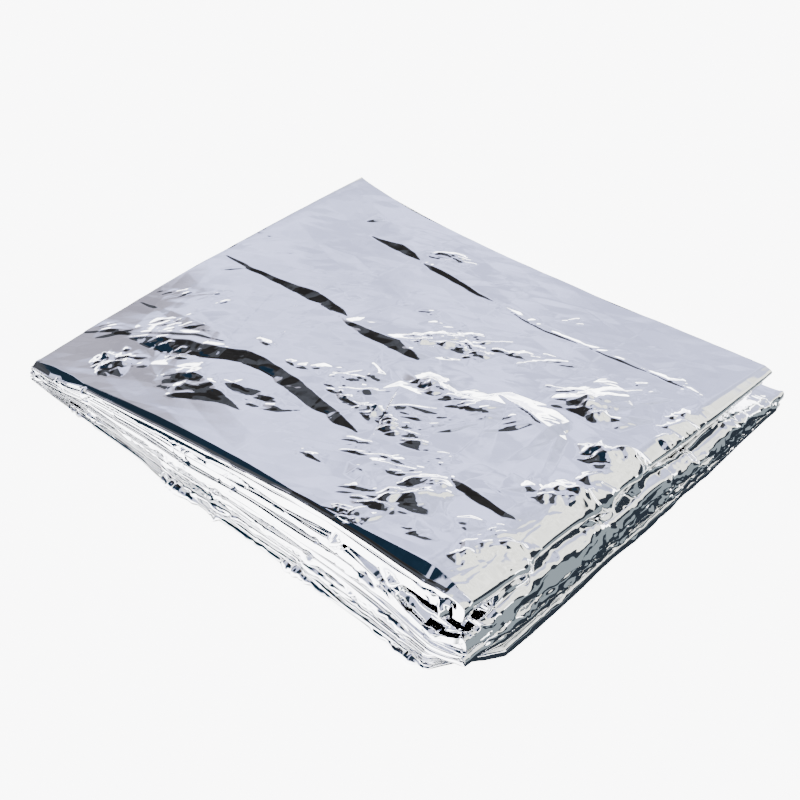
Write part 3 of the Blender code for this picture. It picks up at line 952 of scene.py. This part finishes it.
# studio
studio = {
    "floorSize": 40.0,
    "floorColour": (0.92, 0.92, 0.93),
    "floorGlow": 8.0,
    # the film's reflections see the floor with painted light and shade on it: a painted pool of glow near
    # the pile, a painted shadow past its +X side and another beneath it
    "mirrored": (0.01, 0.01, 0.01),  # the floor's colour as the film mirrors it, nearly black so that the film shows the painted glows and painted shadows below
    "nearPaintedGlow": (9.5, 9.5, 9.8),  # painted light: how bright the floor glows in the film's reflections close to the pile
    "farPaintedGlow": (4.7, 4.7, 5.5),  # painted light: the same glow, weaker further out
    "farEdges": (0.26, 0.60),  # metres from the middle between which one goes over into the other
    "rightPaintedShadow": (0.36, 0.43, 0.47),  # painted shadow on the floor past the pile's +X side, seen only in the film's reflections
    "rightShadowEdges": (0.205, 0.225),
    "underPaintedShadow": (0.02, 0.03, 0.045),  # painted shadow beneath the pile, seen only in the film's reflections
    "underShadowSize": (0.245, 0.182),  # half sizes
    "underShadowBlur": 0.004,
    "base": (1.00, 1.06, 1.48),
    "cloud": 0.22,  # how uneven the surroundings are
    "cloudSize": 9.0,
    "cloudDetail": 2.0,
    "cloudRange": (0.3, 0.7),  # the noise's values for the darkest and the brightest
    "lens": 63.0,
    "sensor": 36.0,
    "azimuth": 43.3,
    "elevation": 37.68,
    "distance": 1.0378,
    "target": (0.0032, -0.0012, 0.0),
}

# the surroundings that the film mirrors: direction, inner and outer angle in degrees, and colour
panels = {
    "behind": ((-0.66, 0.62, 0.42), 0, 32, (1.32, 1.39, 2.05)),
    "left": ((-0.84, 0.33, 0.43), 4, 14, (0.62, 0.60, 0.74)),
    "right": ((0.62, 0.45, 0.64), 42, 46, (2.3, 2.3, 2.1)),
    "front": ((0.60, -0.52, 0.60), 22, 24, (0.03, 0.045, 0.07)),
    "ceiling": ((-0.55, 0.0, 0.83), 28, 31, (0.085, 0.09, 0.105)),
    "overhead": ((-0.55, 0.0, 0.83), 13, 18, (0.030, 0.029, 0.030)),
    "frontLeft": ((-0.60, -0.58, 0.56), 22, 27, (0.012, 0.030, 0.055)),
    "horizon": ((0.0, 0.0, -1.0), 97.4, 98.6, (9.0, 9.0, 9.0)),
    "rightLow": ((0.80, 0.57, 0.12), 25, 29, (0.035, 0.045, 0.06)),
    "leftLow": ((-0.91, -0.36, 0.22), 15, 19, (0.014, 0.030, 0.050)),
}


def plain(nodes, shade):
    colour = nodes.new("ShaderNodeRGB")
    colour.outputs[0].default_value = (*shade, 1.0)
    return colour.outputs[0]


def mixed(nodes, links, before, share, shade):
    mix = nodes.new("ShaderNodeMix")
    mix.data_type = "RGBA"
    links.new(share, mix.inputs[0])
    links.new(before, mix.inputs[6])
    mix.inputs[7].default_value = (*shade, 1.0)
    return mix.outputs[2]


def stepped(nodes, links, value, first, full):
    return rangeNode(nodes, links, value, (first, full), (0.0, 1.0), "SMOOTHSTEP")


def surroundings():
    world = bpy.data.worlds.new("studio")
    bpy.context.scene.world = world
    world.use_nodes = True
    nodes, links = world.node_tree.nodes, world.node_tree.links
    place = nodes.new("ShaderNodeTexCoord").outputs["Generated"]
    shown = plain(nodes, studio["base"])
    for direction, inner, outer, shade in panels.values():
        size = math.sqrt(sum(value * value for value in direction))
        dot = nodes.new("ShaderNodeVectorMath")
        dot.operation = "DOT_PRODUCT"
        dot.inputs[1].default_value = [value / size for value in direction]
        links.new(place, dot.inputs[0])
        inner, outer = math.cos(math.radians(inner)), math.cos(math.radians(outer))
        within = stepped(nodes, links, dot.outputs["Value"], outer, inner)
        shown = mixed(nodes, links, shown, within, shade)
    cloud = noiseNode(nodes, links, place, studio["cloudSize"], studio["cloudDetail"])
    tones = (1.0 - studio["cloud"], 1.0 + studio["cloud"])
    tone = nodes.new("ShaderNodeVectorMath")
    tone.operation = "SCALE"
    links.new(shown, tone.inputs[0])
    links.new(rangeNode(nodes, links, cloud, studio["cloudRange"], tones), tone.inputs["Scale"])
    links.new(tone.outputs["Vector"], nodes["Background"].inputs["Color"])
    nodes["Background"].inputs["Strength"].default_value = 1.0


def floorMaterial():
    material = bpy.data.materials.new("paleFloorWithPaintedLight")
    material.use_nodes = True
    nodes, links = material.node_tree.nodes, material.node_tree.links
    shader = nodes["Principled BSDF"]
    shader.inputs["Roughness"].default_value = 0.9
    shader.inputs["Specular IOR Level"].default_value = 0.0
    place = nodes.new("ShaderNodeTexCoord").outputs["Object"]
    away = nodes.new("ShaderNodeVectorMath")
    away.operation = "LENGTH"
    links.new(place, away.inputs[0])
    split = nodes.new("ShaderNodeSeparateXYZ")
    links.new(place, split.inputs[0])
    # painted light: a pool of glow near the pile that fades further out, for the film's reflections only
    far = stepped(nodes, links, away.outputs["Value"], *studio["farEdges"])
    shown = mixed(nodes, links, plain(nodes, studio["nearPaintedGlow"]), far, studio["farPaintedGlow"])
    # painted shadow on the floor past the pile's +X side, for the film's reflections only
    right = stepped(nodes, links, split.outputs["X"], *studio["rightShadowEdges"])
    shown = mixed(nodes, links, shown, right, studio["rightPaintedShadow"])
    # painted shadow beneath the pile's footprint, for the film's reflections only
    paintedShadowUnder = nodes.new("ShaderNodeMath")
    paintedShadowUnder.operation = "MULTIPLY"
    for index, reach in enumerate(studio["underShadowSize"]):
        off = nodes.new("ShaderNodeMath")
        off.operation = "ABSOLUTE"
        links.new(split.outputs["XY"[index]], off.inputs[0])
        within = stepped(nodes, links, off.outputs[0], reach + studio["underShadowBlur"], reach)
        links.new(within, paintedShadowUnder.inputs[index])
    shown = mixed(nodes, links, shown, paintedShadowUnder.outputs[0], studio["underPaintedShadow"])
    # the camera sees an evenly glowing pale floor, and the film's reflections see the painted glow and
    # painted shadows on a nearly black floor
    seen = nodes.new("ShaderNodeLightPath").outputs["Is Camera Ray"]
    shown = mixed(nodes, links, shown, seen, [studio["floorGlow"]] * 3)
    pale = mixed(nodes, links, plain(nodes, studio["mirrored"]), seen, studio["floorColour"])
    links.new(pale, shader.inputs["Base Color"])
    links.new(shown, shader.inputs["Emission Color"])
    shader.inputs["Emission Strength"].default_value = 1.0
    return material


def floorPiece():
    half = studio["floorSize"] / 2
    corners = [(-half, -half, 0), (half, -half, 0), (half, half, 0), (-half, half, 0)]
    mesh = bpy.data.meshes.new("floor")
    mesh.from_pydata(corners, [], [(0, 1, 2, 3)])
    floor = bpy.data.objects.new("floor", mesh)
    floor.location.z = -0.0004  # clear of the lowest leaf
    bpy.context.scene.collection.objects.link(floor)
    mesh.materials.append(floorMaterial())


def cameraPiece():
    data = bpy.data.cameras.new("camera")
    data.lens = studio["lens"]
    data.sensor_width = studio["sensor"]
    camera = bpy.data.objects.new("camera", data)
    bpy.context.scene.collection.objects.link(camera)
    turned, lift = math.radians(studio["azimuth"]), math.radians(studio["elevation"])
    back = (math.sin(turned) * math.cos(lift), -math.cos(turned) * math.cos(lift), math.sin(lift))
    camera.location = [at + studio["distance"] * way for at, way in zip(studio["target"], back)]
    camera.rotation_euler = (math.pi / 2 - lift, 0.0, turned)
    bpy.context.scene.camera = camera


surroundings()
floorPiece()
cameraPiece()
print("studio made")
